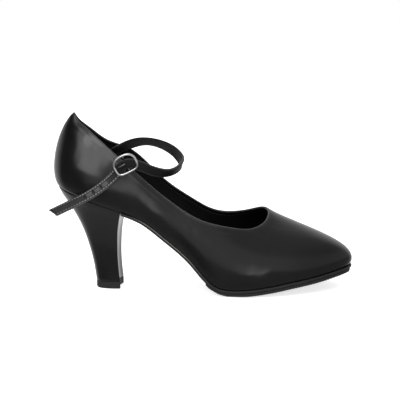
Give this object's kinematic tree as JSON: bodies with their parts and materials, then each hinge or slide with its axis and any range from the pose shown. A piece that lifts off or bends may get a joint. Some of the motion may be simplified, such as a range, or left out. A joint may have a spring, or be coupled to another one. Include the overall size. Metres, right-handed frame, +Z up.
{
  "type": "ankle strap dance shoe",
  "caption": "Black leather character dance shoe for the right foot: closed toe, low-cut throat, covered flared heel, rubber forefoot sole and a buckled ankle strap with its tail hanging back.",
  "frame": {"origin": "middle of the heel tip's underside, on the floor", "axes": "+X from heel to toe, +Y towards the inner side of the right foot, +Z up"},
  "size_m": [0.2288, 0.0779, 0.1361],
  "materials": {
    "upper_leather": "satin smooth black leather",
    "strap_leather": "stitched black leather, worn shiny at the tail",
    "lining": "matt black lining",
    "sole_leather": "edge-inked sole leather",
    "rubber": "matt worn black rubber",
    "buckle_metal": "polished nickel wire"
  },
  "bodies": {
    "root": {"upper": "upper_leather", "insole": "lining", "outsole": "sole_leather", "half_sole": "rubber", "heel": "upper_leather", "heel_tip": "rubber", "strap": "strap_leather", "buckle_frame": "buckle_metal", "buckle_bar": "buckle_metal", "buckle_prong": "buckle_metal", "buckle_tab": "strap_leather"}
  },
  "joints": []
}
